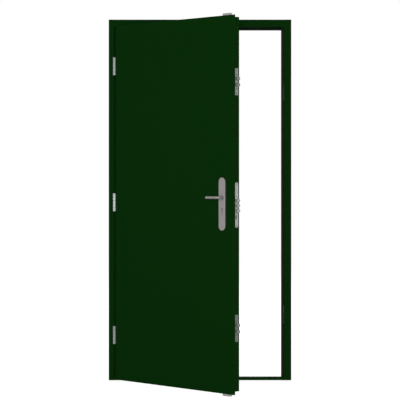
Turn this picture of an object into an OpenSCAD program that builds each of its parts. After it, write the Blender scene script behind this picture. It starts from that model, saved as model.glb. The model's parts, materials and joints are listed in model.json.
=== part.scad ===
// Steel door: one folded-sheet leaf on three butt hinges in a folded-sheet frame, with a multi-point lock.
// Lengths are in millimetres. +X points to the lock side, +Y to the back of the frame and +Z up.
// The origin is on the floor line, midway between the jambs and midway through the frame's depth.
// The leaf and all it carries are drawn closed, then swung open together about the hinge axis.

/* [Frame] */
// Width over both jambs
frame_w = 1020; // [900:1:1200]
// Height from the floor to the top of the head
frame_h = 2015; // [1900:1:2300]
// Depth from the front face to the back face
frame_depth = 100; // [90:1:140]
// Thickness of the frame's sheet
frame_sheet = 1.5; // [1:0.1:2]
// Inside radius of the folds
fold_r = 1; // [0.5:0.1:1.5]
// Front face width of the lock jamb and the head
face_w = 42; // [38:0.5:60]
// Front face width of the hinge jamb
hinge_face_w = 30.2; // [24:0.1:36]
// How far the stop stands past the lock jamb's face
stop_w = 11; // [11:0.5:20]
// Width of the front return that lies against the wall
wall_return = 25; // [15:1:30]
// Height of the threshold
threshold_h = 15; // [10:0.5:18]
// Depth of the threshold
threshold_depth = 57; // [50:1:80]
// Width of the returns under the threshold
threshold_return = 14; // [10:1:16]
// Radius of the fixing holes through the jambs
fixing_r = 5; // [3:0.5:6]
// Height of the lowest fixing, and drop of the highest one below the top
fixing_end = 200; // [120:5:400]
// Number of fixings in each jamb
fixing_count = 4; // [3:1:6]

/* [Seal] */
// Height of the seal off the stop
seal_t = 6.4; // [5:0.1:9]
// Thickness of the seal's foot
seal_foot = 2; // [1.5:0.1:2.5]
// Wall of the seal's hollow bulb
seal_wall = 1.2; // [0.8:0.1:1.6]

/* [Leaf] */
// Angle that the leaf stands open
open_angle = 46.5; // [0:0.5:170]
// Thickness of the leaf
leaf_t = 40; // [38:0.5:50]
// Thickness of the leaf's sheet
skin = 1.2; // [0.9:0.1:1.5]
// Overlap of the lip past the leaf's body at the lock edge
lip_lock = 8.5; // [8:0.5:20]
// Overlap of the lip above the body
lip_head = 11; // [8:0.5:20]
// Overlap of the lip below the body
lip_foot = 17; // [10:0.5:19]
// Gap between the body and the head
head_gap = 4; // [3:0.5:6]
// Gap between the body and the threshold
foot_gap = 6.7; // [5:0.1:10]
// Width of the back skin's tucked-in edge
back_flange = 4; // [3:0.5:5]
// Number of stiffeners between the skins
stiffener_count = 3; // [2:1:4]
// Width of a stiffener's crown
stiffener_w = 40; // [30:1:60]
// Width of each stiffener flange
stiffener_flange = 18; // [12:1:25]

/* [Hinges] */
// Height of a hinge barrel
hinge_h = 96; // [80:1:120]
// Radius of the barrel
barrel_r = 8; // [6.5:0.1:9]
// Radius of the hinge pin
pin_r = 4; // [3:0.1:5]
// Thickness of the wings
wing_t = 3; // [2.5:0.1:3.5]
// Depth of the wings behind the pin
wing_d = 38; // [34:0.5:39]
// Thickness of the plates behind the wings
hinge_plate_t = 4; // [3:0.5:6]
// Drop of the top hinge's middle below the body's top
hinge_top_drop = 216; // [150:1:300]
// Rise of the bottom hinge's middle above the body's bottom
hinge_foot_rise = 232; // [150:1:300]
// Drop of the middle hinge below the midpoint of the other two
hinge_mid_drop = 9; // [0:0.5:20]
// Shank radius of the hinge screws
hinge_screw_r = 2.5; // [2:0.1:3]

/* [Lock] */
// Height of the main lock's middle above the floor
main_z = 991; // [950:1:1050]
// Place of the upper lock, as a share of the way from the main lock to the leaf's top
upper_lock_share = 0.655; // [0.5:0.005:0.7]
// Place of the lower lock, as a share of the way from the main lock to the leaf's bottom
lower_lock_share = 0.661; // [0.5:0.001:0.7]
// Depth of the lock's middle plane behind the leaf's front face
lock_depth = 20; // [19.5:0.5:22.5]
// Distance of the spindle and the cylinder from the lock edge
backset = 81.5; // [75:0.5:100]
// Radius of the round bolts
bolt_r = 9; // [7:0.5:9.5]
// How far the round bolts stand out when thrown
bolt_throw = 20; // [16:1:24]
// Distance between the main lock's bolts
main_pitch = 26; // [24:1:30]
// Distance between the two bolts of the upper and lower locks
side_pitch = 33; // [24:1:40]
// Height of the main forend
main_forend_h = 236; // [225:1:260]
// Height of the upper and lower forends
side_forend_h = 140; // [120:1:160]
// Width of the forends
forend_w = 24; // [21:0.5:25]
// Thickness of the forends
forend_t = 1.5; // [1:0.1:2]
// Thickness of the lock cases across the leaf
case_t = 23; // [22:0.5:24]
// Thickness of the lock cases' sheet
case_wall = 1.5; // [1:0.1:2]
// How far the latch stands out
latch_throw = 12; // [9:0.5:13]
// Height of the latch
latch_h = 20; // [14:1:22]
// Thickness of the latch
latch_t = 14; // [10:0.5:15]

/* [Shoot bolts] */
// Width of a shoot bolt
shoot_w = 52; // [30:1:60]
// Thickness of a shoot bolt
shoot_t = 20; // [12:0.5:20]
// Distance of a shoot bolt's middle from the lock edge
shoot_in = 66.7; // [66:0.1:72]
// How far a shoot bolt stands past the lip when thrown
shoot_show = 12.5; // [8:0.5:13]
// Length of a shoot bolt inside the leaf
shoot_grip = 60; // [50:1:90]
// Radius of the rods that move the shoot bolts
rod_r = 4.5; // [3:0.1:5]

/* [Keeps] */
// Height of a keep plate
keep_h = 98; // [94:1:120]
// Width of a keep plate
keep_w = 29; // [28:0.5:34]
// Thickness of a keep plate
keep_t = 1; // [0.8:0.1:1.5]
// How far the keeps sit nearer the main lock than their bolts
keep_shift = 17.5; // [10:0.5:20]

/* [Handle] */
// Width of the handle plates
plate_w = 49; // [45:1:60]
// Height of the handle plates
plate_h = 278; // [270:1:320]
// Thickness of the handle plates
plate_t = 8; // [7:0.5:12]
// Drop of the plates' middle below the spindle
plate_drop = 33.5; // [30:0.5:40]
// Rise of the spindle above the main lock's middle
spindle_rise = 38; // [36:1:42]
// Distance from the spindle down to the cylinder
handle_pitch = 62; // [60:1:72]
// Radius of the lever's round bar
lever_r = 7; // [7:0.5:10]
// Distance of the lever's bar from the plate
lever_reach = 25; // [24:1:60]
// Length of the lever from the spindle to its end
lever_l = 93; // [80:1:140]
// Centre-line radius of the lever's bend
lever_bend = 16; // [12:1:20]
// Side of the square spindle
spindle_side = 8; // [7:0.5:9]

/* [Cylinder] */
// Radius of the cylinder's round part
cylinder_r = 8.5; // [8:0.1:9]
// Width of the cylinder's lower part
cylinder_w = 10; // [9:0.1:11]
// Height of the whole cylinder
cylinder_h = 33; // [31:0.5:34]
// Radius of the plugs
plug_r = 6; // [5:0.1:6.5]
// Radius that the cam sweeps
cam_r = 15; // [13:0.5:15]

/* [Clearances] */
// Between the lip and the frame's face
face_gap = 0.4; // [0.3:0.1:1]
// Between the leaf's back and the seal
seal_gap = 0.4; // [0.3:0.1:1]
// Between the two wings of a closed hinge
wing_gap = 0.7; // [0.5:0.1:1.2]
// Between the forends and the keeps
edge_gap = 1; // [0.6:0.1:2]
// Between a barrel and what it passes
barrel_gap = 0.3; // [0.3:0.1:0.6]
// Radial play of pins and of turning parts
turn_gap = 0.06; // [0.02:0.01:0.1]
// Side play of sliding and fitted parts
slide_gap = 0.3; // [0.3:0.05:0.5]
// Room around the bolts in the keeps
keep_gap = 1.5; // [1:0.1:2]

/* [Hidden] */
$fn = 48;

// How far a cut runs past the face that it opens
overrun = 5;
// Straight pieces in a fold's quarter turn
fold_steps = 4;

// Colours
paint = [0.04, 0.16, 0.04];
rubber = [0.10, 0.10, 0.10];
stainless = [0.62, 0.60, 0.59];
zinc = [0.66, 0.68, 0.70];
dull_steel = [0.45, 0.46, 0.47];
brass = [0.72, 0.60, 0.32];

// Frame lines
frame_left = -frame_w / 2;
frame_right = frame_w / 2;
frame_front = -frame_depth / 2;
frame_back = frame_depth / 2;
rebate_left = frame_left + hinge_face_w;
rebate_right = frame_right - face_w;
rebate_top = frame_h - face_w;
soffit_w = face_w + stop_w;

// Leaf lines, with the leaf closed
lip_t = 2 * skin;
leaf_front = frame_front - face_gap - lip_t;
leaf_back = leaf_front + leaf_t;
hinge_gap = 2 * wing_t - frame_sheet - skin + wing_gap;
lock_gap = forend_t + keep_t + edge_gap;
leaf_left = rebate_left + hinge_gap;
leaf_right = rebate_right - lock_gap;
leaf_top = rebate_top - head_gap;
leaf_bottom = threshold_h + foot_gap;
lip_right = leaf_right + lip_lock;
lip_top = leaf_top + lip_head;
lip_bottom = leaf_bottom - lip_foot;
leaf_edge_r = skin + fold_r / 2;

// The stop stands behind the closed leaf and the seal
rebate_depth = leaf_back + seal_gap + seal_t - frame_front;
stop_front = frame_front + rebate_depth;
seal_w = stop_w - fold_r;
fixing_y = (stop_front + frame_back) / 2;
fixing_edge = 17;
back_return = frame_back - fixing_y + fixing_edge;

// Hinges
axis_x = rebate_left + hinge_gap / 2;
axis_y = frame_front - barrel_r - barrel_gap;
hinge_low = leaf_bottom + hinge_foot_rise;
hinge_high = leaf_top - hinge_top_drop;
hinge_mid = (hinge_low + hinge_high) / 2 - hinge_mid_drop;
hinge_zs = [hinge_low, hinge_mid, hinge_high];
knuckles = 5;
frame_knuckles = [0, 2, 4];
leaf_knuckles = [1, 3];
washer_t = 1.4;
washer_rim = 0.4;
knuckle_gap = washer_t + 2 * turn_gap;
knuckle_h = (hinge_h - (knuckles - 1) * knuckle_gap) / knuckles;
notch_r = barrel_r + 2 * barrel_gap;
pin_head_step = 0.8;
pin_head_r = barrel_r - pin_head_step;
pin_head_h = 2;
frame_wing_x = rebate_left - frame_sheet;
leaf_wing_x = leaf_left + skin - wing_t;
hinge_plate_end = 10;
hinge_plate_front = frame_front + frame_sheet + fold_r + slide_gap;
hinge_plate_back = leaf_back - skin - back_flange - slide_gap;
screw_head_h = 1.8;
cross_length_share = 0.62;
cross_width_share = 0.13;
screw_past = 2;
hinge_screw_l = wing_t + hinge_plate_t + screw_past;
wing_screw_shares = [-0.38, -0.13, 0.13, 0.38];
wing_screw_near = 17;
wing_screw_step = 12;
frame_screw_x = frame_wing_x + wing_t;

// Lock places
lock_y = leaf_front + lock_depth;
upper_z = main_z + upper_lock_share * (leaf_top - main_z);
lower_z = main_z - lower_lock_share * (main_z - leaf_bottom);
bolt_inside = 32;
carriage_w = 8;
carriage_t = 12;
bolt_bevel = 1;
main_bolt_drop = 3;
main_bolt_zs = [for (k = [-1, 0, 1]) main_z - main_bolt_drop + k * main_pitch];
side_bolt_shares = [-0.5, 0.5];
latch_drop = 63;
latch_z = main_z - latch_drop;
latch_inside = 28;
latch_bevel_share = 0.25;
case_end = 18;
main_case_h = main_forend_h - 2 * case_end;
side_case_h = side_forend_h - 2 * case_end;
case_inner = case_t / 2 - case_wall;
case_room = 16;
side_case_depth = shoot_in + rod_r + case_room;
forend_screw_r = 2;
forend_screw_l = 9;
forend_screw_edge = 9;
forend_screw_head_h = 1.2;
side_screw_share = 0.255;
case_bolt_rise = 45;
case_bolt_z = main_z + case_bolt_rise;
case_bolt_r = 5.5;
case_bolt_l = 12;
case_bolt_head_r = 9.5;
case_bolt_head_h = 0.9;
case_bolt_bevel = 0.6;
socket_r = 3.8;
socket_depth = 8;

// Spindle, follower and latch drive
spindle_x = leaf_right - backset;
spindle_z = main_z + spindle_rise;
cylinder_z = spindle_z - handle_pitch;
hub_r = 11;
trunnion_r = 8.5;
drive_pin_r = 2.5;
drive_rise = 22;
drive_gap = 2.8;
drive_arm_w = 9;
drive_arm_up = 6;
drive_arm_down = 10;
tail_t = 3;
tail_h = 10;
tail_start = 20;
tail_play = 0.5;
cam_gap = 3;
upright_w = 6;
upright_in = backset + cam_r + cam_gap;
main_case_depth = upright_in + upright_w + latch_throw + case_wall + 2 * tail_play;
spindle_grip = 22;

// Shoot bolts
shoot_x = leaf_right - shoot_in;
shoot_wall = 1.5;
shoot_bevel = 2;
guide_h = 45;
rod_in_case = 16;
top_tip = lip_top + shoot_show;
bottom_tip = lip_bottom - shoot_show;

// Keeps
upper_keep_z = upper_z - keep_shift;
lower_keep_z = lower_z + keep_shift;
keep_screw_r = 1.8;
keep_screw_head_h = 0.8;
keep_screw_l = 7;
keep_screw_edge = 4.5;
latch_room = 4;

// Handle and cylinder
plate_edge_r = 3;
collar_rim = 3.5;
collar_r = lever_r + collar_rim;
collar_h = 3;
lever_bevel = 1.5;
plate_bolt_r = 3;
plate_bolt_head_h = 2.5;
plate_bolt_in = 22;
plate_bolt_grip = 4;
spindle_hole_r = 7;
cylinder_show = 1.5;
cylinder_front = leaf_front - plate_t - cylinder_show;
cylinder_l = leaf_t + 2 * (plate_t + cylinder_show);
cam_w = 10;
cam_lobe_w = 7;
cam_hub_r = 8;
cam_floor_gap = 1;
cam_floor = cam_r + cam_floor_gap;
keyway_w = 1.6;
keyway_h = 8;
keyway_depth = 6;
cylinder_screw_r = 2.4;
cylinder_screw_z = cylinder_z - (cam_floor + cylinder_h - cylinder_r) / 2;

// A box from its lowest to its highest corner
module box(low, high) {
    translate(low)
        cube(high - low);
}

// Swings what is drawn closed to where the leaf stands
module on_leaf() {
    translate([axis_x, axis_y, 0])
        rotate([0, 0, -open_angle])
            translate([-axis_x, -axis_y, 0])
                children();
}

// Lays an outline drawn as depth across and height up on a plane that faces +X
module facing_x(x) {
    translate([x, 0, 0])
        rotate([90, 0, 90])
            children();
}

// Turns an upright solid to lie along +Y
module along_y(x, y, z) {
    translate([x, y, z])
        rotate([-90, 0, 0])
            children();
}

// Turns an upright solid to lie along +X
module along_x(x, y, z) {
    translate([x, y, z])
        rotate([0, 90, 0])
            children();
}

// Outline with half-round ends, standing on its narrow side
module stadium(w, h) {
    square([w, h - w], center = true);
    for (s = [-1, 1])
        translate([0, s * (h - w) / 2])
            circle(r = w / 2);
}

// Folded sheet: an outline worked out from the mould line of its bends, with the sheet on the line's left
function unit(v) = v / norm(v);
function left_of(d) = [-d[1], d[0]];
function heading(path, i) = unit(path[i + 1] - path[i]);
function fold_corner(path, i, t, s) =
    let (
        into = heading(path, i - 1),
        out = heading(path, i),
        r = fold_r + (cross(into, out) > 0 ? t - s : s),
        at = path[i] + s * (left_of(into) + left_of(out)),
        centre = at + r * (out - into)
    )
    [for (k = [0 : fold_steps])
        let (a = 90 * k / fold_steps)
        centre + r * (into * sin(a) - out * cos(a))];
function fold_side(path, t, s) =
    let (last = len(path) - 1)
    concat(
        [path[0] + s * left_of(heading(path, 0))],
        [for (i = [1 : last - 1]) each fold_corner(path, i, t, s)],
        [path[last] + s * left_of(heading(path, last - 1))]
    );
function backwards(list) = [for (i = [len(list) - 1 : -1 : 0]) list[i]];
function fold_outline(path, t) = concat(fold_side(path, t, 0), backwards(fold_side(path, t, t)));

// Jamb and head section: distance in from the outer edge, then depth from the front face
function jamb_path(face) = [
    [0, wall_return], [0, 0], [face, 0], [face, rebate_depth], [soffit_w, rebate_depth],
    [soffit_w, frame_depth], [0, frame_depth], [0, frame_depth - back_return]
];

module at_hinge_side() {
    translate([frame_left, frame_front, 0])
        children();
}

module at_lock_side() {
    translate([frame_right, frame_front, 0])
        mirror([1, 0, 0])
            children();
}

// One jamb standing at the origin, closed at its top
module jamb_blank(face) {
    linear_extrude(frame_h)
        polygon(fold_outline(jamb_path(face), frame_sheet));
    translate([0, 0, frame_h - frame_sheet])
        linear_extrude(frame_sheet)
            polygon(fold_side(jamb_path(face), frame_sheet, 0));
}

// All the room that a jamb takes up, for coping the head and the threshold to it
module jamb_room(face) {
    translate([0, 0, -overrun])
        linear_extrude(frame_h + 2 * overrun)
            polygon([
                [-overrun, -overrun], [face, -overrun], [face, rebate_depth - fold_r],
                [face + fold_r, rebate_depth], [soffit_w, rebate_depth],
                [soffit_w, frame_depth + overrun], [-overrun, frame_depth + overrun]
            ]);
}

module both_jamb_rooms() {
    at_hinge_side()
        jamb_room(hinge_face_w);
    at_lock_side()
        jamb_room(face_w);
}

// Fixing holes through the soffit and the back return of a jamb
module fixing_holes() {
    step = (frame_h - 2 * fixing_end) / (fixing_count - 1);
    for (k = [0 : fixing_count - 1])
        along_x(-overrun, fixing_y - frame_front, fixing_end + k * step)
            cylinder(r = fixing_r, h = soffit_w + 2 * overrun);
}

// Countersunk screw pointing up from its head, with a cross in it, and the hole that the screw sits in
module screw_blank(r, head_h, l) {
    cylinder(r1 = r + head_h, r2 = r, h = head_h);
    translate([0, 0, head_h])
        cylinder(r = r, h = l - head_h);
}

module screw(r, head_h, l) {
    half_l = cross_length_share * (r + head_h);
    half_w = cross_width_share * (r + head_h);
    difference() {
        screw_blank(r, head_h, l);
        for (turn = [0, 90])
            rotate([0, 0, turn])
                box([-half_l, -half_w, -overrun], [half_l, half_w, head_h / 2]);
    }
}

module screw_hole(r, head_h, l) {
    screw_blank(r + turn_gap, head_h, l + overrun);
    translate([0, 0, -overrun])
        cylinder(r = r + head_h + turn_gap, h = overrun);
}

// Places of one hinge wing's screws, in height and depth
module wing_screw_places(z) {
    for (k = [0 : len(wing_screw_shares) - 1])
        translate([
            0, axis_y + wing_screw_near + (k % 2) * wing_screw_step, z + wing_screw_shares[k] * hinge_h
        ])
            children();
}

module frame_wing_screw_places(z) {
    wing_screw_places(z)
        along_x(frame_screw_x, 0, 0)
            rotate([180, 0, 0])
                children();
}

module leaf_wing_screw_places(z) {
    wing_screw_places(z)
        along_x(leaf_wing_x, 0, 0)
            children();
}

// Outline through which a row of round bolts passes, as depth and height
module bolt_slot(zs, r) {
    low = min(zs);
    high = max(zs);
    for (z = [low, high])
        translate([lock_y, z])
            circle(r = r);
    translate([lock_y - r, low])
        square([2 * r, high - low]);
}

function side_bolt_zs(z) = [for (share = side_bolt_shares) z + share * side_pitch];

// Cut through the lock jamb's rebate wall
module rebate_cut(x) {
    facing_x(x)
        linear_extrude(frame_sheet + keep_t + 2 * overrun)
            children();
}

module hinge_jamb() {
    color(paint)
        difference() {
            at_hinge_side()
                difference() {
                    jamb_blank(hinge_face_w);
                    fixing_holes();
                }
            for (z = hinge_zs) {
                box([frame_wing_x, frame_front - overrun, z - hinge_h / 2 - slide_gap],
                    [rebate_left + overrun, axis_y + wing_d + slide_gap, z + hinge_h / 2 + slide_gap]);
            }
        }
}

module lock_jamb() {
    cut_x = rebate_right - keep_t - overrun;
    color(paint)
        difference() {
            at_lock_side()
                difference() {
                    jamb_blank(face_w);
                    fixing_holes();
                }
            rebate_cut(cut_x) {
                for (zs = [main_bolt_zs, side_bolt_zs(upper_z), side_bolt_zs(lower_z)])
                    bolt_slot(zs, bolt_r + keep_gap);
                translate([lock_y, latch_z])
                    square([latch_t + latch_room, latch_h + latch_room], center = true);
            }
            keep_screw_places()
                screw_hole(keep_screw_r, keep_screw_head_h, keep_screw_l);
        }
}

// Slot for a shoot bolt, at the closed leaf
module shoot_slot(z, h, gap) {
    translate([shoot_x, lock_y, z])
        linear_extrude(h)
            square([shoot_w + 2 * gap, shoot_t + 2 * gap], center = true);
}

module head() {
    color(paint)
        difference() {
            translate([frame_left, frame_front, frame_h])
                rotate([0, 90, 0])
                    linear_extrude(frame_w)
                        polygon(fold_outline(jamb_path(face_w), frame_sheet));
            both_jamb_rooms();
            shoot_slot(rebate_top - overrun, frame_sheet + 2 * overrun, keep_gap);
        }
}

module threshold() {
    path = [
        [threshold_h, threshold_depth - threshold_return], [threshold_h, threshold_depth],
        [0, threshold_depth], [0, 0], [threshold_h, 0], [threshold_h, threshold_return]
    ];
    color(paint)
        difference() {
            translate([frame_left, frame_front, threshold_h])
                rotate([0, 90, 0])
                    linear_extrude(frame_w)
                        polygon(fold_outline(path, frame_sheet));
            both_jamb_rooms();
            shoot_slot(-overrun, threshold_h + 2 * overrun, keep_gap);
        }
}

// Seal section: a flat foot with a hollow half-round bulb on it, lying with its foot on the X axis
module seal_section() {
    bulb_r = seal_t - seal_foot;
    square([seal_w, seal_foot]);
    translate([seal_w / 2, seal_foot])
        difference() {
            intersection() {
                circle(r = bulb_r);
                translate([-seal_w / 2, 0])
                    square([seal_w, bulb_r]);
            }
            intersection() {
                circle(r = bulb_r - seal_wall);
                translate([-seal_w / 2, 0])
                    square([seal_w, bulb_r]);
            }
        }
}

module jamb_seal() {
    translate([soffit_w - seal_w, rebate_depth, threshold_h])
        linear_extrude(rebate_top - threshold_h - fold_r)
            mirror([0, 1])
                seal_section();
}

module seal_hinge_side() {
    color(rubber)
        at_hinge_side()
            jamb_seal();
}

module seal_lock_side() {
    color(rubber)
        at_lock_side()
            jamb_seal();
}

module seal_head() {
    color(rubber)
        translate([frame_left + soffit_w, stop_front, rebate_top - stop_w])
            rotate([90, 0, 90])
                linear_extrude(frame_w - 2 * soffit_w)
                    rotate([0, 0, 90])
                        seal_section();
}

// Height of the foot of one knuckle, from the hinge's middle
function knuckle_foot(k) = -hinge_h / 2 + k * (knuckle_h + knuckle_gap);

// One half of a hinge: its wing, its own knuckles, and room for those of the other half
module hinge_half(z, wing_x, own, other) {
    difference() {
        union() {
            difference() {
                box([wing_x, axis_y, z - hinge_h / 2], [wing_x + wing_t, axis_y + wing_d, z + hinge_h / 2]);
                for (k = other)
                    translate([axis_x, axis_y, z + knuckle_foot(k) - knuckle_gap])
                        cylinder(r = barrel_r + barrel_gap, h = knuckle_h + 2 * knuckle_gap);
            }
            for (k = own)
                translate([axis_x, axis_y, z + knuckle_foot(k)])
                    cylinder(r = barrel_r, h = knuckle_h);
        }
        translate([axis_x, axis_y, z - hinge_h / 2 - overrun])
            cylinder(r = pin_r + turn_gap, h = hinge_h + 2 * overrun);
        children();
    }
}

module hinge_frame_wing(z) {
    color(stainless)
        hinge_half(z, frame_wing_x, frame_knuckles, leaf_knuckles)
            frame_wing_screw_places(z)
                screw_hole(hinge_screw_r, screw_head_h, hinge_screw_l);
}

module hinge_leaf_wing(z) {
    color(stainless)
        on_leaf()
            hinge_half(z, leaf_wing_x, leaf_knuckles, frame_knuckles)
                leaf_wing_screw_places(z)
                    screw_hole(hinge_screw_r, screw_head_h, hinge_screw_l);
}

// Pin with a flat head at each end of the barrel
module hinge_pin(z) {
    color(stainless)
        translate([axis_x, axis_y, z - hinge_h / 2 - pin_head_h])
            rotate_extrude()
                polygon([
                    [0, 0], [pin_head_r - pin_head_h / 2, 0], [pin_head_r, pin_head_h / 2],
                    [pin_head_r, pin_head_h], [pin_r, pin_head_h], [pin_r, pin_head_h + hinge_h],
                    [pin_head_r, pin_head_h + hinge_h], [pin_head_r, pin_head_h * 3 / 2 + hinge_h],
                    [pin_head_r - pin_head_h / 2, 2 * pin_head_h + hinge_h], [0, 2 * pin_head_h + hinge_h]
                ]);
}

// Washers that carry the leaf's knuckles on the frame's
module hinge_washers(z) {
    color(brass)
        for (k = leaf_knuckles)
            translate([axis_x, axis_y, z + knuckle_foot(k) - turn_gap - washer_t])
                difference() {
                    cylinder(r = barrel_r - washer_rim, h = washer_t);
                    translate([0, 0, -overrun])
                        cylinder(r = pin_r + turn_gap, h = washer_t + 2 * overrun);
                }
}

module hinge_frame_wing_bottom() { hinge_frame_wing(hinge_low); }
module hinge_frame_wing_middle() { hinge_frame_wing(hinge_mid); }
module hinge_frame_wing_top() { hinge_frame_wing(hinge_high); }
module hinge_leaf_wing_bottom() { hinge_leaf_wing(hinge_low); }
module hinge_leaf_wing_middle() { hinge_leaf_wing(hinge_mid); }
module hinge_leaf_wing_top() { hinge_leaf_wing(hinge_high); }
module hinge_pin_bottom() { hinge_pin(hinge_low); }
module hinge_pin_middle() { hinge_pin(hinge_mid); }
module hinge_pin_top() { hinge_pin(hinge_high); }
module hinge_washers_bottom() { hinge_washers(hinge_low); }
module hinge_washers_middle() { hinge_washers(hinge_mid); }
module hinge_washers_top() { hinge_washers(hinge_high); }

// Tapped plates behind the wings
module hinge_plate(x, z) {
    box([x, hinge_plate_front, z - hinge_h / 2 - hinge_plate_end],
        [x + hinge_plate_t, hinge_plate_back, z + hinge_h / 2 + hinge_plate_end]);
}

module frame_hinge_plates() {
    color(zinc)
        for (z = hinge_zs)
            difference() {
                hinge_plate(frame_wing_x - hinge_plate_t, z);
                frame_wing_screw_places(z)
                    screw_hole(hinge_screw_r, screw_head_h, hinge_screw_l);
            }
}

module leaf_hinge_plates() {
    color(zinc)
        on_leaf()
            for (z = hinge_zs)
                difference() {
                    hinge_plate(leaf_left + skin, z);
                    leaf_wing_screw_places(z)
                        screw_hole(hinge_screw_r, screw_head_h, hinge_screw_l);
                }
}

module frame_hinge_screws() {
    color(zinc)
        for (z = hinge_zs)
            frame_wing_screw_places(z)
                screw(hinge_screw_r, screw_head_h, hinge_screw_l);
}

module leaf_hinge_screws() {
    color(zinc)
        on_leaf()
            for (z = hinge_zs)
                leaf_wing_screw_places(z)
                    screw(hinge_screw_r, screw_head_h, hinge_screw_l);
}

// Keep plates on the lock jamb, each with two screws in opposite corners
module keep_screw_places() {
    y = keep_w / 2 - keep_screw_edge;
    z = keep_h / 2 - keep_screw_edge;
    for (keep_z = [upper_keep_z, lower_keep_z], s = [-1, 1])
        along_x(rebate_right - keep_t, lock_y + s * y, keep_z + s * z)
            children();
}

module keep(keep_z, lock_z) {
    color(zinc)
        difference() {
            facing_x(rebate_right - keep_t)
                linear_extrude(keep_t)
                    difference() {
                        translate([lock_y, keep_z])
                            square([keep_w, keep_h], center = true);
                        bolt_slot(side_bolt_zs(lock_z), bolt_r + keep_gap);
                    }
            keep_screw_places()
                screw_hole(keep_screw_r, keep_screw_head_h, keep_screw_l);
        }
}

module upper_keep() { keep(upper_keep_z, upper_z); }
module lower_keep() { keep(lower_keep_z, lower_z); }

module keep_screws() {
    color(zinc)
        keep_screw_places()
            screw(keep_screw_r, keep_screw_head_h, keep_screw_l);
}

// Rounds an outside edge of the leaf that runs up Z, with the leaf to the right of it and behind it
module edge_round(r, l) {
    difference() {
        translate([-overrun, -overrun, 0])
            cube([overrun + r, overrun + r, l]);
        translate([r, r, -overrun])
            cylinder(r = r, h = l + 2 * overrun);
    }
}

// Holes that the handles, the cylinder and the plate bolts need through a skin, from y forward to y back
module furniture_holes(y, depth) {
    along_y(spindle_x, y, spindle_z)
        cylinder(r = spindle_hole_r, h = depth);
    cylinder_prism(y, depth, slide_gap);
    plate_bolt_places(y)
        cylinder(r = plate_bolt_r + slide_gap, h = depth);
}

// The lock cylinder's outline, run along the depth of the leaf
module cylinder_prism(y, depth, gap) {
    translate([spindle_x, y, cylinder_z])
        rotate([-90, 0, 0])
            linear_extrude(depth) {
                circle(r = cylinder_r + gap);
                translate([-cylinder_w / 2 - gap, 0])
                    square([cylinder_w + 2 * gap, cylinder_h - cylinder_r - cylinder_w / 2]);
                translate([0, cylinder_h - cylinder_r - cylinder_w / 2])
                    circle(r = cylinder_w / 2 + gap);
            }
}

module plate_bolt_places(y) {
    for (s = [-1, 1])
        along_y(spindle_x, y, spindle_z - plate_drop + s * (plate_h / 2 - plate_bolt_in))
            children();
}

// Cuts through the lock edge of the leaf for bolts, latch and screws
module lock_edge_cuts(x, depth) {
    for (z = concat(main_bolt_zs, side_bolt_zs(upper_z), side_bolt_zs(lower_z)))
        along_x(x, lock_y, z)
            cylinder(r = bolt_r + slide_gap, h = depth);
    translate([x, lock_y - latch_t / 2 - slide_gap, latch_z - latch_h / 2 - slide_gap])
        cube([depth, latch_t + 2 * slide_gap, latch_h + 2 * slide_gap]);
    forend_screw_places()
        screw_hole(forend_screw_r, forend_screw_head_h, forend_screw_l);
    cylinder_screw_place()
        screw_hole(cylinder_screw_r, forend_screw_head_h, backset);
    along_x(x, lock_y, case_bolt_z)
        cylinder(r = case_bolt_r + turn_gap, h = depth);
}

module forend_screw_places() {
    main_end = main_forend_h / 2 - forend_screw_edge;
    side_end = side_forend_h / 2 - forend_screw_edge;
    side_mid = side_screw_share * side_forend_h;
    side_zs = [for (z = [upper_z, lower_z], rise = [-side_end, -side_mid, side_mid, side_end]) z + rise];
    for (z = concat([main_z - main_end, main_z + main_end], side_zs))
        along_x(leaf_right + forend_t, lock_y, z)
            rotate([180, 0, 0])
                children();
}

module cylinder_screw_place() {
    along_x(leaf_right + forend_t, lock_y, cylinder_screw_z)
        rotate([180, 0, 0])
            children();
}

module front_skin() {
    color(paint)
        on_leaf()
            difference() {
                union() {
                    box([leaf_left, leaf_front, lip_bottom], [lip_right, leaf_front + skin, lip_top]);
                    difference() {
                        box([leaf_left, leaf_front + skin, lip_bottom],
                            [lip_right, leaf_front + lip_t, lip_top]);
                        box([leaf_left - overrun, leaf_front, leaf_bottom + skin],
                            [leaf_right - skin, leaf_back, leaf_top - skin]);
                    }
                    difference() {
                        box([leaf_left, leaf_front + skin, leaf_bottom],
                            [leaf_right, leaf_back - skin, leaf_top]);
                        box([leaf_left + skin, leaf_front, leaf_bottom + skin],
                            [leaf_right - skin, leaf_back, leaf_top - skin]);
                    }
                }
                for (z = hinge_zs)
                    hinge_room(z);
                translate([leaf_left, leaf_front, lip_bottom - overrun])
                    edge_round(leaf_edge_r, lip_top - lip_bottom + 2 * overrun);
                translate([lip_right, leaf_front, lip_bottom - overrun])
                    mirror([1, 0, 0])
                        edge_round(skin, lip_top - lip_bottom + 2 * overrun);
                translate([leaf_left - overrun, leaf_front, lip_top])
                    rotate([0, 90, 0])
                        edge_round(skin, lip_right - leaf_left + 2 * overrun);
                translate([leaf_left - overrun, leaf_front, lip_bottom])
                    mirror([0, 0, 1])
                        rotate([0, 90, 0])
                            edge_round(skin, lip_right - leaf_left + 2 * overrun);
                lock_edge_cuts(leaf_right - overrun, 2 * overrun);
                furniture_holes(leaf_front - overrun, skin + 2 * overrun);
                shoot_slot(leaf_bottom - overrun, skin + 2 * overrun, slide_gap);
                shoot_slot(leaf_top - skin - overrun, skin + 2 * overrun, slide_gap);
            }
}

// Room in the leaf's corner for one hinge: a round notch for the barrel and a window for the wing
module hinge_room(z) {
    h = hinge_h + 2 * pin_head_h + 2 * slide_gap;
    translate([axis_x, axis_y, z - h / 2])
        cylinder(r = notch_r, h = h);
    box([leaf_left - overrun, leaf_front - overrun, z - hinge_h / 2 - slide_gap],
        [leaf_left + skin, axis_y + wing_d + slide_gap, z + hinge_h / 2 + slide_gap]);
}

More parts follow.
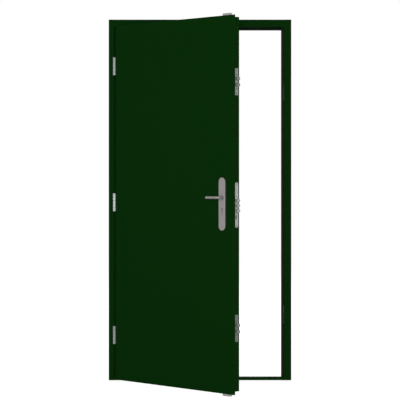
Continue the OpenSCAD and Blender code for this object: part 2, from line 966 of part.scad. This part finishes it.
module back_skin() {
    inner_left = leaf_left + skin;
    inner_right = leaf_right - skin;
    inner_bottom = leaf_bottom + skin;
    inner_top = leaf_top - skin;
    flange_front = leaf_back - skin - back_flange;
    color(paint)
        on_leaf()
            difference() {
                union() {
                    box([leaf_left, leaf_back - skin, leaf_bottom], [leaf_right, leaf_back, leaf_top]);
                    difference() {
                        box([inner_left, flange_front, inner_bottom],
                            [inner_right, leaf_back - skin, inner_top]);
                        box([inner_left + skin, flange_front - overrun, inner_bottom + skin],
                            [inner_right - skin, leaf_back, inner_top - skin]);
                    }
                }
                furniture_holes(leaf_back - skin - overrun, skin + 2 * overrun);
            }
}

// Top-hat stiffeners that stand between the back skin's folded-in edges and touch both skins
module stiffeners() {
    front = leaf_front + skin;
    depth = leaf_t - 2 * skin;
    half = stiffener_w / 2;
    path = [
        [half + stiffener_flange, depth], [half, depth], [half, skin],
        [-half, skin], [-half, depth], [-half - stiffener_flange, depth]
    ];
    room = leaf_right - main_case_depth - leaf_left;
    color(dull_steel)
        on_leaf()
            for (k = [1 : stiffener_count])
                translate([leaf_left + room * k / (stiffener_count + 1), front, leaf_bottom + 2 * skin])
                    linear_extrude(leaf_top - leaf_bottom - 4 * skin)
                        polygon(fold_outline(path, skin));
}

// Cover plate of a lock on the leaf's edge
module forend(z, h, rounded) {
    color(stainless)
        on_leaf()
            difference() {
                facing_x(leaf_right)
                    linear_extrude(forend_t)
                        translate([lock_y, z])
                            if (rounded)
                                stadium(forend_w, h);
                            else
                                square([forend_w, h], center = true);
                lock_edge_cuts(leaf_right - overrun, forend_t + 2 * overrun);
            }
}

module main_forend() { forend(main_z, main_forend_h, true); }
module upper_forend() { forend(upper_z, side_forend_h, false); }
module lower_forend() { forend(lower_z, side_forend_h, false); }

module forend_screws() {
    color(zinc)
        on_leaf()
            forend_screw_places()
                screw(forend_screw_r, forend_screw_head_h, forend_screw_l);
}

// Round-headed bolt with a six-sided socket, through the forend into the main lock's case
module case_bolt() {
    color(zinc)
        on_leaf()
            along_x(leaf_right + forend_t, lock_y, case_bolt_z)
                difference() {
                    union() {
                        cylinder(r1 = case_bolt_head_r, r2 = case_bolt_head_r - case_bolt_bevel,
                                 h = case_bolt_head_h);
                        translate([0, 0, -case_bolt_l])
                            cylinder(r = case_bolt_r, h = case_bolt_l);
                    }
                    translate([0, 0, case_bolt_head_h - socket_depth])
                        cylinder(r = socket_r, h = socket_depth + overrun, $fn = 6);
                }
}

module cylinder_screw() {
    color(zinc)
        on_leaf()
            cylinder_screw_place()
                screw(cylinder_screw_r, forend_screw_head_h, backset + forend_t + cylinder_w / 2);
}

// Cuts that the rods, the follower and the lock cylinder need in the main lock's case and cover
module main_lock_cuts() {
    along_y(spindle_x, lock_y - case_t, spindle_z)
        cylinder(r = trunnion_r + turn_gap, h = 2 * case_t);
    cylinder_prism(lock_y - case_t, 2 * case_t, slide_gap);
    lock_edge_cuts(leaf_right - skin - case_wall - overrun, case_wall + 2 * overrun);
    rod_holes();
}

module rod_holes() {
    translate([shoot_x, lock_y, 0])
        cylinder(r = rod_r + slide_gap, h = frame_h);
}

// Lock case open on its back face, and the cover that closes it
module lock_case(z, h, depth) {
    right = leaf_right - skin;
    color(zinc)
        on_leaf()
            difference() {
                box([right - depth, lock_y - case_t / 2, z - h / 2],
                    [right, lock_y + case_t / 2 - case_wall, z + h / 2]);
                box([right - depth + case_wall, lock_y - case_inner, z - h / 2 + case_wall],
                    [right - case_wall, lock_y + case_t, z + h / 2 - case_wall]);
                children();
            }
}

module lock_cover(z, h, depth) {
    right = leaf_right - skin;
    color(zinc)
        on_leaf()
            difference() {
                box([right - depth, lock_y + case_inner, z - h / 2],
                    [right, lock_y + case_t / 2, z + h / 2]);
                children();
            }
}

module side_lock_cuts() {
    lock_edge_cuts(leaf_right - skin - case_wall - overrun, case_wall + 2 * overrun);
    rod_holes();
}

module main_lock_case() {
    lock_case(main_z, main_case_h, main_case_depth)
        main_lock_cuts();
}

module main_lock_cover() {
    lock_cover(main_z, main_case_h, main_case_depth)
        main_lock_cuts();
}

module upper_lock_case() {
    lock_case(upper_z, side_case_h, side_case_depth)
        side_lock_cuts();
}

module upper_lock_cover() { lock_cover(upper_z, side_case_h, side_case_depth); }

module lower_lock_case() {
    lock_case(lower_z, side_case_h, side_case_depth)
        side_lock_cuts();
}

module lower_lock_cover() { lock_cover(lower_z, side_case_h, side_case_depth); }

// Sleeve that a shoot bolt slides in, from foot to foot plus its height
module bolt_guide(foot) {
    wall = shoot_wall + slide_gap;
    color(zinc)
        on_leaf()
            difference() {
                shoot_slot(foot, guide_h, wall);
                shoot_slot(foot - overrun, guide_h + 2 * overrun, slide_gap);
            }
}

module top_bolt_guide() { bolt_guide(leaf_top - skin - guide_h); }
module bottom_bolt_guide() { bolt_guide(leaf_bottom + skin); }

// Shoot bolt drawn upwards from its inner end, with a bevelled tip, and its rod below it
module shoot_bolt(l, rod_l) {
    linear_extrude(l - shoot_bevel)
        square([shoot_w, shoot_t], center = true);
    translate([0, 0, l - shoot_bevel])
        linear_extrude(shoot_bevel)
            square([shoot_w - 2 * shoot_bevel, shoot_t - shoot_bevel], center = true);
    translate([0, 0, -rod_l])
        cylinder(r = rod_r, h = rod_l);
}

module top_bolt() {
    foot = leaf_top - shoot_grip;
    rod_end = main_z + main_case_h / 2 - rod_in_case;
    color(zinc)
        on_leaf()
            translate([shoot_x, lock_y, foot])
                shoot_bolt(top_tip - foot, foot - rod_end);
}

module bottom_bolt() {
    foot = leaf_bottom + shoot_grip;
    rod_end = main_z - main_case_h / 2 + rod_in_case;
    color(zinc)
        on_leaf()
            translate([shoot_x, lock_y, foot])
                mirror([0, 0, 1])
                    shoot_bolt(foot - bottom_tip, rod_end - foot);
}

// A row of round bolts on the bar that moves them together
module bolt_set(zs) {
    inner = leaf_right - bolt_inside;
    length = bolt_inside + bolt_throw;
    color(zinc)
        on_leaf() {
            for (z = zs)
                along_x(inner, lock_y, z) {
                    cylinder(r = bolt_r, h = length - bolt_bevel);
                    translate([0, 0, length - bolt_bevel])
                        cylinder(r1 = bolt_r, r2 = bolt_r - bolt_bevel, h = bolt_bevel);
                }
            box([inner - carriage_w, lock_y - carriage_t / 2, min(zs) - bolt_r],
                [inner, lock_y + carriage_t / 2, max(zs) + bolt_r]);
        }
}

module main_bolts() { bolt_set(main_bolt_zs); }
module upper_bolts() { bolt_set(side_bolt_zs(upper_z)); }
module lower_bolts() { bolt_set(side_bolt_zs(lower_z)); }

// Latch with its slope to the back, and the tail plate by which the follower draws it in
module latch_bolt() {
    tip = leaf_right + latch_throw;
    root = leaf_right - latch_inside;
    tail_y = lock_y - case_inner + tail_play;
    drive_z = spindle_z + drive_rise;
    arm_in = backset + drive_pin_r + drive_gap;
    color(zinc)
        on_leaf() {
            translate([0, 0, latch_z - latch_h / 2])
                linear_extrude(latch_h)
                    polygon([
                        [root, lock_y - latch_t / 2], [tip, lock_y - latch_t / 2],
                        [tip, lock_y - latch_t * latch_bevel_share],
                        [leaf_right, lock_y + latch_t / 2], [root, lock_y + latch_t / 2]
                    ]);
            translate([leaf_right, tail_y + tail_t, 0])
                rotate([90, 0, 0])
                    linear_extrude(tail_t)
                        polygon([
                            [-tail_start, latch_z - tail_h / 2],
                            [-upright_in - upright_w, latch_z - tail_h / 2],
                            [-upright_in - upright_w, drive_z + drive_arm_up],
                            [-arm_in, drive_z + drive_arm_up],
                            [-arm_in, drive_z - drive_arm_down], [-upright_in, drive_z - drive_arm_down],
                            [-upright_in, latch_z + tail_h / 2], [-tail_start, latch_z + tail_h / 2]
                        ]);
        }
}

// Hub on the spindle, turning in the walls of the case, with an arm and a pin that push the latch's tail
module follower() {
    pin_front = lock_y - case_inner + tail_play;
    hub_front = pin_front + tail_t + tail_play;
    hub_l = lock_y + case_inner - tail_play - hub_front;
    color(dull_steel)
        on_leaf()
            difference() {
                union() {
                    along_y(spindle_x, lock_y - case_t / 2, spindle_z)
                        cylinder(r = trunnion_r, h = case_t);
                    along_y(spindle_x, hub_front, spindle_z)
                        cylinder(r = hub_r, h = hub_l);
                    box([spindle_x - drive_arm_w / 2, hub_front, spindle_z],
                        [spindle_x + drive_arm_w / 2, hub_front + hub_l / 2, spindle_z + drive_rise]);
                    along_y(spindle_x, hub_front, spindle_z + drive_rise)
                        cylinder(r = drive_arm_w / 2, h = hub_l / 2);
                    along_y(spindle_x, pin_front, spindle_z + drive_rise)
                        cylinder(r = drive_pin_r, h = hub_l / 2);
                }
                spindle_prism(lock_y - case_t, 2 * case_t, turn_gap);
            }
}

module spindle_prism(y, depth, gap) {
    side = spindle_side + 2 * gap;
    translate([spindle_x - side / 2, y, spindle_z - side / 2])
        cube([side, depth, side]);
}

module spindle() {
    color(dull_steel)
        on_leaf()
            spindle_prism(leaf_front - spindle_grip, leaf_t + 2 * spindle_grip, 0);
}

// Handle pieces are drawn with the spindle at their origin, Y up and Z standing off the leaf
module outside_place() {
    on_leaf()
        translate([spindle_x, leaf_front, spindle_z])
            rotate([90, 0, 0])
                children();
}

module inside_place() {
    on_leaf()
        translate([spindle_x, leaf_back, spindle_z])
            mirror([0, 1, 0])
                rotate([90, 0, 0])
                    children();
}

// Half of a plate's section, with a rounded front edge
module plate_half_section() {
    square([plate_w / 2 - plate_edge_r, plate_t]);
    square([plate_w / 2, plate_t - plate_edge_r]);
    translate([plate_w / 2 - plate_edge_r, plate_t - plate_edge_r])
        circle(r = plate_edge_r);
}

// Long plate with half-round ends and a collar around the lever's neck
module handle_plate() {
    straight = plate_h - plate_w;
    difference() {
        union() {
            translate([0, -plate_drop, 0]) {
                translate([0, straight / 2, 0])
                    rotate_extrude(angle = 180)
                        plate_half_section();
                translate([0, -straight / 2, 0])
                    rotate([0, 0, 180])
                        rotate_extrude(angle = 180)
                            plate_half_section();
                translate([0, straight / 2, 0])
                    rotate([90, 0, 0])
                        linear_extrude(straight) {
                            plate_half_section();
                            mirror([1, 0])
                                plate_half_section();
                        }
            }
            cylinder(r = collar_r, h = plate_t + collar_h);
        }
        translate([0, 0, -overrun])
            cylinder(r = lever_r + turn_gap, h = plate_t + collar_h + 2 * overrun);
        children();
    }
}

// Opening for the lock cylinder in a plate
module plate_cylinder_hole() {
    translate([0, -handle_pitch, -overrun])
        linear_extrude(plate_t + 2 * overrun) {
            circle(r = cylinder_r + slide_gap);
            translate([-cylinder_w / 2 - slide_gap, cylinder_r + cylinder_w / 2 - cylinder_h])
                square([cylinder_w + 2 * slide_gap, cylinder_h - cylinder_r - cylinder_w / 2]);
            translate([0, cylinder_r + cylinder_w / 2 - cylinder_h])
                circle(r = cylinder_w / 2 + slide_gap);
        }
}

module plate_bolt_spots() {
    for (s = [-1, 1])
        translate([0, -plate_drop + s * (plate_h / 2 - plate_bolt_in), 0])
            children();
}

module outside_plate() {
    color(stainless)
        outside_place()
            handle_plate() {
                plate_cylinder_hole();
                plate_bolt_spots()
                    translate([0, 0, -overrun])
                        cylinder(r = plate_bolt_r + turn_gap, h = plate_bolt_grip + overrun + turn_gap);
            }
}

module inside_plate() {
    color(stainless)
        inside_place()
            handle_plate() {
                plate_cylinder_hole();
                plate_bolt_spots()
                    translate([0, 0, plate_t])
                        rotate([180, 0, 0])
                            screw_hole(plate_bolt_r, plate_bolt_head_h, plate_t);
            }
}

module plate_bolts() {
    color(zinc)
        inside_place()
            plate_bolt_spots()
                translate([0, 0, plate_t])
                    rotate([180, 0, 0])
                        screw(plate_bolt_r, plate_bolt_head_h, plate_t + leaf_t + plate_bolt_grip);
}

// Round-bar lever: neck, bend and grip, with a square socket for the spindle
module lever() {
    neck_top = plate_t + lever_reach - lever_bend;
    grip_l = lever_l - lever_bend;
    difference() {
        union() {
            translate([0, 0, slide_gap])
                cylinder(r = lever_r, h = neck_top - slide_gap);
            translate([-lever_bend, 0, neck_top])
                rotate([90, 0, 0])
                    rotate_extrude(angle = 90)
                        translate([lever_bend, 0])
                            circle(r = lever_r);
            translate([-lever_bend, 0, neck_top + lever_bend])
                rotate([0, -90, 0]) {
                    cylinder(r = lever_r, h = grip_l - lever_bevel);
                    translate([0, 0, grip_l - lever_bevel])
                        cylinder(r1 = lever_r, r2 = lever_r - lever_bevel, h = lever_bevel);
                }
        }
        side = spindle_side + 2 * turn_gap;
        translate([-side / 2, -side / 2, -overrun])
            cube([side, side, spindle_grip + overrun + slide_gap]);
    }
}

module outside_lever() {
    color(stainless)
        outside_place()
            lever();
}

module inside_lever() {
    color(stainless)
        inside_place()
            lever();
}

// Lock cylinder through the leaf and both plates
module cylinder_body() {
    color(brass)
        on_leaf()
            difference() {
                cylinder_prism(cylinder_front, cylinder_l, 0);
                along_y(spindle_x, cylinder_front - overrun, cylinder_z)
                    cylinder(r = plug_r + turn_gap, h = cylinder_l + 2 * overrun);
                box([spindle_x - cylinder_r - overrun, lock_y - cam_w / 2, cylinder_z - cam_floor],
                    [spindle_x + cylinder_r + overrun, lock_y + cam_w / 2,
                     cylinder_z + cylinder_r + overrun]);
                cylinder_screw_place()
                    cylinder(r = cylinder_screw_r + turn_gap, h = backset + forend_t + cylinder_w);
            }
}

// Plug from the cylinder's end to the cam, drawn standing on the cam with its keyway at the top
module plug(l) {
    difference() {
        cylinder(r = plug_r, h = l);
        translate([-keyway_w / 2, -keyway_h / 2, l - keyway_depth])
            cube([keyway_w, keyway_h, keyway_depth + overrun]);
    }
}

module outside_plug() {
    color(brass)
        on_leaf()
            translate([spindle_x, lock_y - cam_w / 2 + slide_gap, cylinder_z])
                rotate([90, 0, 0])
                    plug(lock_y - cam_w / 2 + slide_gap - cylinder_front);
}

module inside_plug() {
    color(brass)
        on_leaf()
            translate([spindle_x, lock_y + cam_w / 2 - slide_gap, cylinder_z])
                mirror([0, 1, 0])
                    rotate([90, 0, 0])
                        plug(cylinder_front + cylinder_l - lock_y - cam_w / 2 + slide_gap);
}

module plug_cam() {
    width = cam_w - 2 * slide_gap;
    color(dull_steel)
        on_leaf()
            translate([spindle_x, lock_y + width / 2, cylinder_z])
                rotate([90, 0, 0])
                    linear_extrude(width) {
                        circle(r = cam_hub_r);
                        intersection() {
                            circle(r = cam_r);
                            translate([-cam_r, -cam_lobe_w / 2])
                                square([cam_r, cam_lobe_w]);
                        }
                    }
}

hinge_jamb();
lock_jamb();
head();
threshold();
seal_hinge_side();
seal_lock_side();
seal_head();
hinge_frame_wing_bottom();
hinge_frame_wing_middle();
hinge_frame_wing_top();
hinge_pin_bottom();
hinge_pin_middle();
hinge_pin_top();
hinge_washers_bottom();
hinge_washers_middle();
hinge_washers_top();
frame_hinge_plates();
frame_hinge_screws();
upper_keep();
lower_keep();
keep_screws();
front_skin();
back_skin();
stiffeners();
hinge_leaf_wing_bottom();
hinge_leaf_wing_middle();
hinge_leaf_wing_top();
leaf_hinge_plates();
leaf_hinge_screws();
main_forend();
upper_forend();
lower_forend();
forend_screws();
case_bolt();
main_lock_case();
main_lock_cover();
upper_lock_case();
upper_lock_cover();
lower_lock_case();
lower_lock_cover();
top_bolt_guide();
bottom_bolt_guide();
cylinder_body();
cylinder_screw();
outside_plate();
inside_plate();
plate_bolts();
outside_lever();
inside_lever();
spindle();
follower();
latch_bolt();
main_bolts();
upper_bolts();
lower_bolts();
top_bolt();
bottom_bolt();
outside_plug();
inside_plug();
plug_cam();
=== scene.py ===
import json
import math

import bpy
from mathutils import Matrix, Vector


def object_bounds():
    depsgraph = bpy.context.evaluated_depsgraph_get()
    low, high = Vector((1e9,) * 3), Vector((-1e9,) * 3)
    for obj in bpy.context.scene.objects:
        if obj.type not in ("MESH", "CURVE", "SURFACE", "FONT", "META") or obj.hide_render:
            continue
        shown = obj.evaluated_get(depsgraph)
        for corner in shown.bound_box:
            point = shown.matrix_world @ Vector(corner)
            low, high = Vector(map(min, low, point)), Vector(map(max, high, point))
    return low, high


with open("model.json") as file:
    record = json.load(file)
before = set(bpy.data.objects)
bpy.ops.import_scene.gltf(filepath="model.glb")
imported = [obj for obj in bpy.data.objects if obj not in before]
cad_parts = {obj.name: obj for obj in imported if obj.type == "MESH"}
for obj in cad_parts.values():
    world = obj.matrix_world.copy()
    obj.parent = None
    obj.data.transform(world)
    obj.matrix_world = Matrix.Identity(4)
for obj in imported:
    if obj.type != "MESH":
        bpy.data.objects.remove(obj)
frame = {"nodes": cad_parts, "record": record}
cad_box = [list(corner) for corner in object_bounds()]
scene = bpy.context.scene

# A pattern that isn't drawn out along X, Y or Z
even = (1, 1, 1)
# Height of the bumps in a surface, in metres
fine_relief = 0.0002
# Most values of a noise lie between these two
noise_low = 0.3
noise_high = 0.7
# A metal's roughness varies this much either way along its grain
rough_spread = 0.06


def linear(rgb):
    """Colour given as 0 to 255 screen values, as the linear values that shaders use."""
    out = []
    for v in rgb:
        v = v / 255
        out.append(v / 12.92 if v <= 0.04045 else ((v + 0.055) / 1.055) ** 2.4)
    return out


def new_material(name):
    """A material with its nodes and its main shader."""
    mat = bpy.data.materials.new(name)
    mat.use_nodes = True
    tree = mat.node_tree
    return mat, tree, tree.nodes["Principled BSDF"]


def place(tree, stretch):
    """Coordinates in metres of the piece itself, stretched along X, Y and Z."""
    coord = tree.nodes.new("ShaderNodeTexCoord")
    mapping = tree.nodes.new("ShaderNodeMapping")
    mapping.inputs["Scale"].default_value = stretch
    tree.links.new(coord.outputs["Object"], mapping.inputs["Vector"])
    return mapping.outputs["Vector"]


def noise(tree, where, scale, detail, roughness=0.5):
    """Noise over the piece, with about as many swings to the metre as its scale."""
    node = tree.nodes.new("ShaderNodeTexNoise")
    node.inputs["Scale"].default_value = scale
    node.inputs["Detail"].default_value = detail
    node.inputs["Roughness"].default_value = roughness
    tree.links.new(where, node.inputs["Vector"])
    return node.outputs["Fac"]


def tint(tree, shader, value, rgb, darkest, brightest):
    """Varies the surface's colour by a noise value, between two shares of it."""
    colour = linear(rgb)
    node = tree.nodes.new("ShaderNodeMix")
    node.data_type = "RGBA"
    for socket, share in (("A", darkest), ("B", brightest)):
        node.inputs[socket].default_value = (*[v * share for v in colour], 1)
    tree.links.new(value, node.inputs["Factor"])
    tree.links.new(node.outputs["Result"], shader.inputs["Base Color"])


def roughen(tree, shader, value, smoothest, roughest):
    """Varies the surface's roughness by a noise value, between two limits."""
    node = tree.nodes.new("ShaderNodeMapRange")
    node.inputs["From Min"].default_value = noise_low
    node.inputs["From Max"].default_value = noise_high
    node.inputs["To Min"].default_value = smoothest
    node.inputs["To Max"].default_value = roughest
    tree.links.new(value, node.inputs["Value"])
    tree.links.new(node.outputs["Result"], shader.inputs["Roughness"])


def bump(tree, shader, height, strength):
    """Raises the surface a little by a noise value."""
    node = tree.nodes.new("ShaderNodeBump")
    node.inputs["Strength"].default_value = strength
    node.inputs["Distance"].default_value = fine_relief
    tree.links.new(height, node.inputs["Height"])
    tree.links.new(node.outputs["Normal"], shader.inputs["Normal"])


def paint_material(name, rgb):
    """Powder-coated sheet: fine orange peel, a slight cloud in the colour and in the sheen."""
    mat, tree, shader = new_material(name)
    where = place(tree, even)
    cloud = noise(tree, where, scale=6, detail=3)
    peel = noise(tree, where, scale=900, detail=2)
    tint(tree, shader, cloud, rgb, darkest=0.96, brightest=1.04)
    roughen(tree, shader, cloud, smoothest=0.74, roughest=0.82)
    shader.inputs["Specular IOR Level"].default_value = 0.01
    bump(tree, shader, peel, strength=0.12)
    return mat


def rubber_material(name, rgb):
    """Matte extruded rubber with a fine grain."""
    mat, tree, shader = new_material(name)
    grain = noise(tree, place(tree, even), scale=700, detail=3)
    tint(tree, shader, grain, rgb, darkest=0.85, brightest=1.15)
    shader.inputs["Roughness"].default_value = 0.75
    shader.inputs["Specular IOR Level"].default_value = 0.1
    bump(tree, shader, grain, strength=0.2)
    return mat


def metal_material(name, rgb, stretch, grain_scale, rough, metallic):
    """Brushed or plated metal, slightly stained, with a grain that a stretch draws out."""
    mat, tree, shader = new_material(name)
    grain = noise(tree, place(tree, stretch), scale=grain_scale, detail=4, roughness=0.6)
    stain = noise(tree, place(tree, even), scale=25, detail=3)
    tint(tree, shader, stain, rgb, darkest=0.94, brightest=1.05)
    roughen(tree, shader, grain, smoothest=rough - rough_spread, roughest=rough + rough_spread)
    shader.inputs["Metallic"].default_value = metallic
    bump(tree, shader, grain, strength=0.10)
    return mat


# Finishes of the metals
satin = dict(stretch=(1, 1, 0.04), grain_scale=1500, rough=0.6, metallic=0.5)
rolled = dict(stretch=(1, 1, 0.1), grain_scale=900, rough=0.62, metallic=0.4)
rolled_smoother = dict(stretch=(1, 1, 0.1), grain_scale=900, rough=0.6, metallic=0.4)
drawn = dict(stretch=(1, 1, 0.2), grain_scale=600, rough=0.55, metallic=0.7)
ground = dict(stretch=even, grain_scale=700, rough=0.6, metallic=0.4)
turned = dict(stretch=even, grain_scale=700, rough=0.55, metallic=0.5)
oxide = dict(stretch=even, grain_scale=500, rough=0.65, metallic=0.3)
nickel = dict(stretch=even, grain_scale=500, rough=0.55, metallic=0.5)
zinc = dict(stretch=even, grain_scale=260, rough=0.55, metallic=0.6)

# One material for each slot of the record
materials = {
    "green_paint": paint_material("green_powder_coat", (7, 40, 7)),
    "seal_rubber": rubber_material("seal_rubber", (35, 35, 35)),
    "hinge_steel": metal_material("satin_hinge_steel", (138, 144, 140), **rolled),
    "forend_steel": metal_material("satin_forend_steel", (152, 153, 149), **satin),
    "side_forend_steel": metal_material("dull_forend_steel", (120, 126, 120), **satin),
    "handle_steel": metal_material("satin_handle_steel", (131, 128, 127), **satin),
    "bolt_steel": metal_material("ground_bolt_steel", (118, 119, 118), **ground),
    "dark_steel": metal_material("dark_oxide_steel_and_socket_shade", (38, 46, 39), **oxide),
    "zinc_steel": metal_material("zinc_plate", (150, 154, 152), **zinc),
    "brass": metal_material("satin_nickel_brass", (120, 116, 114), **nickel),
    "plain_steel": metal_material("plain_steel", (110, 111, 112), **drawn),
}
slots = {entry["node"]: entry["material_slot"] for entry in frame["record"]["subparts"]}

# Painted light on single pieces: the middle hinge, the main bolts, the shoot bolts and the case bolt get
# brighter copies
# # of their materials as painted sheen, the bottom hinge and the head's seal darker copies as painted
# shade, and the lower forend is darker
# Middle hinge: a brighter copy of the hinge steel as painted sheen; bottom hinge: a darker copy as
# painted shade
hinge_painted_sheen = metal_material("hinge_steel_painted_sheen", (170, 177, 172), **rolled_smoother)
hinge_painted_shade = metal_material("hinge_steel_painted_shade", (129, 135, 131), **rolled)
# Main and shoot bolts: a lighter copy of the bolt steel as painted light
bolt_painted_light = metal_material("bolt_steel_painted_light", (150, 149, 149), **ground)
shades = {
    "lower_forend": metal_material("low_forend_steel", (100, 105, 100), **satin),
    # Case bolt's head: a brighter steel as painted highlight
    "case_bolt": metal_material("head_steel_painted_highlight", (168, 168, 164), **turned),
    # Head's seal: a darker copy of the seal rubber as painted shade under the head
    "seal_head": rubber_material("head_rubber_painted_shade", (6, 8, 5)),
}
for hinge_piece in ("hinge_frame_wing", "hinge_leaf_wing", "hinge_pin"):
    shades[hinge_piece + "_middle"] = hinge_painted_sheen
    shades[hinge_piece + "_bottom"] = hinge_painted_shade
for bolt in ("main_bolts", "top_bolt", "bottom_bolt"):
    shades[bolt] = bolt_painted_light
for name, obj in frame["nodes"].items():
    obj.data.materials.clear()
    obj.data.materials.append(shades.get(name, materials[slots[name]]))


def second_material(name, mat, chosen):
    """Gives another material to the chosen faces of a node."""
    mesh = frame["nodes"][name].data
    mesh.materials.append(mat)
    for face in mesh.polygons:
        if chosen(face):
            face.material_index = 1


# Directions of the open leaf: the bolts are thrown along it, and its face is square to that
joints = {joint["name"]: joint for joint in frame["record"]["behaviour"]["joints"]}
along = Vector(joints["main_bolt_throw"]["axis"]).normalized()
leaf_face = Vector((-along.y, along.x, 0))

# The six-sided socket in the case bolt's head gets the dark steel inside, as painted shade in the recess
socket_reach = 0.0039
corners = [Vector(corner) for corner in frame["nodes"]["case_bolt"].bound_box]
middle = sum(corners, Vector()) / len(corners)


def in_socket(face):
    """A face of the case bolt that lies close to its axis."""
    offset = face.center - middle
    return (offset - along * offset.dot(along)).length < socket_reach


# Painted shade: dark steel on the faces inside the socket
second_material("case_bolt", materials["dark_steel"], in_socket)

# The rim of the outer handle plate gets a darker copy of the handle steel, as painted shade on the edge
# that turns away from the light
rim_limit = 0.5


def on_rim(face):
    """A face of the plate that doesn't look the way the leaf's own face does."""
    return abs(face.normal.dot(leaf_face)) < rim_limit


rim_painted_shade = metal_material("handle_rim_steel_painted_shade", (84, 81, 80), **satin)
second_material("outside_plate", rim_painted_shade, on_rim)

# Small rounded edges on the hardware that shows, by their width in metres
soft_edges = {
    0.0002: ("upper_keep", "lower_keep"),
    0.0003: ("main_forend", "upper_forend", "lower_forend"),
    0.0004: ("outside_plate", "inside_plate", "latch_bolt"),
    0.0006: ("top_bolt", "bottom_bolt"),
}
weld_reach = 0.000005
sharp_angle = math.radians(50)
for width, names in soft_edges.items():
    for name in names:
        obj = frame["nodes"][name]
        weld = obj.modifiers.new("join_faces", "WELD")
        weld.merge_threshold = weld_reach
        bevel = obj.modifiers.new("soft_edges", "BEVEL")
        bevel.width = width
        bevel.segments = 2
        bevel.limit_method = "ANGLE"
        bevel.angle_limit = sharp_angle

# Floor and world: seen and mirrored as white, and lighting the part softly
floor_size = 60
floor_drop = 0.0005
floor_grey = 0.8
floor_glow = 0.92
floor_shade_share = 0.27
ambient_strength = 0.3
white_strength = 1.0


def seen_or_mirrored(tree):
    """One for a ray that comes from the camera, a reflection or a see-through piece, otherwise zero."""
    path = tree.nodes.new("ShaderNodeLightPath")
    total = path.outputs["Is Camera Ray"]
    for kind in ("Is Glossy Ray", "Is Transmission Ray"):
        either = tree.nodes.new("ShaderNodeMath")
        either.operation = "MAXIMUM"
        tree.links.new(total, either.inputs[0])
        tree.links.new(path.outputs[kind], either.inputs[1])
        total = either.outputs["Value"]
    return total


def split_rays(tree, lighting, shown, out):
    """Shows one shader to the rays that see or mirror it, and another to those that light the part."""
    mix = tree.nodes.new("ShaderNodeMixShader")
    tree.links.new(seen_or_mirrored(tree), mix.inputs["Fac"])
    tree.links.new(lighting, mix.inputs[1])
    tree.links.new(shown, mix.inputs[2])
    tree.links.new(mix.outputs["Shader"], out.inputs["Surface"])


def grey_matte(tree, level):
    """Matte grey shader."""
    node = tree.nodes.new("ShaderNodeBsdfDiffuse")
    node.inputs["Color"].default_value = (level, level, level, 1)
    return node.outputs["BSDF"]


def white_light(tree, strength):
    """White world shader."""
    node = tree.nodes.new("ShaderNodeBackground")
    node.inputs["Color"].default_value = (1, 1, 1, 1)
    node.inputs["Strength"].default_value = strength
    return node.outputs["Background"]


def floor_material(name):
    """Matte floor that shows as white with a faint shadow under the part."""
    mat, tree, shader = new_material(name)
    tree.nodes.remove(shader)
    glow = tree.nodes.new("ShaderNodeEmission")
    glow.inputs["Strength"].default_value = floor_glow
    both = tree.nodes.new("ShaderNodeAddShader")
    tree.links.new(glow.outputs["Emission"], both.inputs[0])
    tree.links.new(grey_matte(tree, floor_shade_share), both.inputs[1])
    split_rays(tree, grey_matte(tree, floor_grey), both.outputs["Shader"], tree.nodes["Material Output"])
    return mat


def studio_world(name):
    """White all round, with a soft light of its own."""
    world = bpy.data.worlds.new(name)
    world.use_nodes = True
    tree = world.node_tree
    tree.nodes.clear()
    out = tree.nodes.new("ShaderNodeOutputWorld")
    split_rays(tree, white_light(tree, ambient_strength), white_light(tree, white_strength), out)
    return world


lowest = cad_box[0][2]
bpy.ops.mesh.primitive_plane_add(size=floor_size, location=(0, 0, lowest - floor_drop))
floor = bpy.context.object
floor.name = "floor"
floor.data.materials.append(floor_material("white_floor"))
scene.world = studio_world("studio")

# Square lamps, all aimed at the middle of the door
lamp_aim = Vector((0, -0.3, 1.0))


def lamp(name, at, size, power):
    """One square lamp, with its side in metres and its power in watts."""
    light = bpy.data.lights.new(name, "AREA")
    light.shape = "SQUARE"
    light.size = size
    light.energy = power
    obj = bpy.data.objects.new(name, light)
    scene.collection.objects.link(obj)
    obj.location = at
    obj.rotation_euler = (lamp_aim - Vector(at)).to_track_quat("-Z", "Y").to_euler()


lamp("front", at=(0, -10.4, 1.3), size=1.5, power=635)
lamp("left", at=(-6.2, -2.0, 2.4), size=4.0, power=82)
lamp("right", at=(6.2, -2.0, 2.4), size=4.0, power=60)
lamp("back", at=(1.5, 7.5, 6.0), size=3.0, power=400)

# Camera square to the frame, a little above its middle, with the picture shifted to hold all of it
eye_distance = 9.69
eye_height = 1.151
camera_data = bpy.data.cameras.new("camera")
camera_data.sensor_width = 36
camera_data.lens = 155.3
camera_data.shift_y = -0.0644
camera_data.clip_start = 0.1
camera_data.clip_end = 200
camera = bpy.data.objects.new("camera", camera_data)
camera.location = (0, -eye_distance, eye_height)
camera.rotation_euler = (math.radians(90), 0, 0)
scene.collection.objects.link(camera)
scene.camera = camera
scene.view_settings.view_transform = "Standard"
